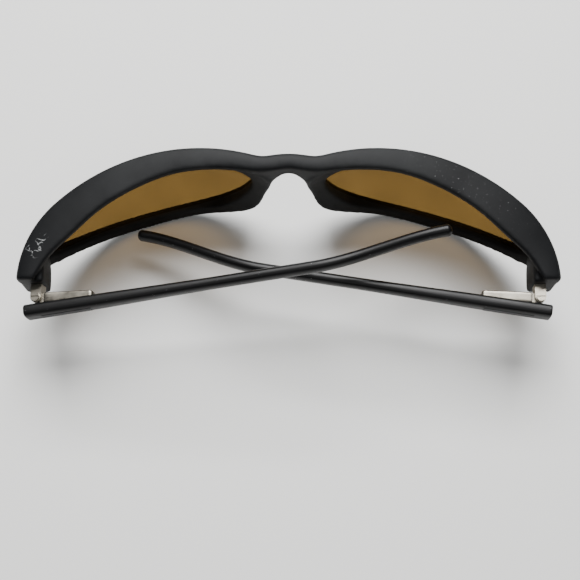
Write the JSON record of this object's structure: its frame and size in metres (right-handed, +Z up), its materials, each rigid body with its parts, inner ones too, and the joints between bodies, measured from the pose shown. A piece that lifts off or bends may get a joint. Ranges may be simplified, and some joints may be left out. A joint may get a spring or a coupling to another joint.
{
  "type": "sunglasses",
  "caption": "Wraparound sport sunglasses: one-piece visor-browed front, two tinted spherical lenses and slim curved temples that fold and flex on sprung hinges.",
  "frame": {"origin": "nose saddle, at the middle of the underside of the bridge", "axes": "+X to the wearer's right, +Y forward out through the lenses, +Z up; temples folded, left over right"},
  "size_m": [0.143, 0.0441, 0.0358],
  "materials": {
    "frame": "matte charcoal, moulded",
    "lens": "polished amber brown tint",
    "temple": "satin black",
    "plaque": "matte dark grey, plain",
    "hinge": "satin nickel silver",
    "case": "polished nickel plate",
    "screw": "polished steel",
    "spring": "spring steel"
  },
  "bodies": {
    "front": {"front_frame": "frame", "lens_left": "lens", "lens_right": "lens", "front_hinge_left": "hinge", "front_hinge_right": "hinge", "hinge_screw_left": "screw", "hinge_screw_right": "screw"},
    "slider_left": {"spring_slider_left": "hinge"},
    "temple_left": {"temple_left": "temple", "hinge_case_left": "case", "case_rivets_left": "screw", "temple_plaque_left": "plaque", "spring_retainer_left": "hinge", "hinge_spring_left": "spring"},
    "slider_right": {"spring_slider_right": "hinge"},
    "temple_right": {"temple_right": "temple", "hinge_case_right": "case", "case_rivets_right": "screw", "temple_plaque_right": "plaque", "spring_retainer_right": "hinge", "hinge_spring_right": "spring"}
  },
  "joints": [
    {"name": "temple_left_fold", "type": "hinge", "parent": "front", "child": "slider_left", "pos_m": [-0.0666, -0.03448, -0.008], "axis": [0.1392, 0, -0.9903], "range_deg": [0, 97]},
    {"name": "temple_left_flex", "type": "slide", "parent": "slider_left", "child": "temple_left", "axis": [0.9902, 0.0105, 0.1392], "range_m": [0, 0.0012], "stiffness_N_per_m": 300, "springref_m": -0.0005, "deforming": ["hinge_spring_left"]},
    {"name": "temple_right_fold", "type": "hinge", "parent": "front", "child": "slider_right", "pos_m": [0.0666, -0.03448, -0.008], "axis": [-0.0175, 0, 0.9998], "range_deg": [0, 99.3]},
    {"name": "temple_right_flex", "type": "slide", "parent": "slider_right", "child": "temple_right", "axis": [-0.9986, 0.0506, -0.0174], "range_m": [0, 0.0012], "stiffness_N_per_m": 300, "springref_m": -0.0005, "deforming": ["hinge_spring_right"]}
  ]
}
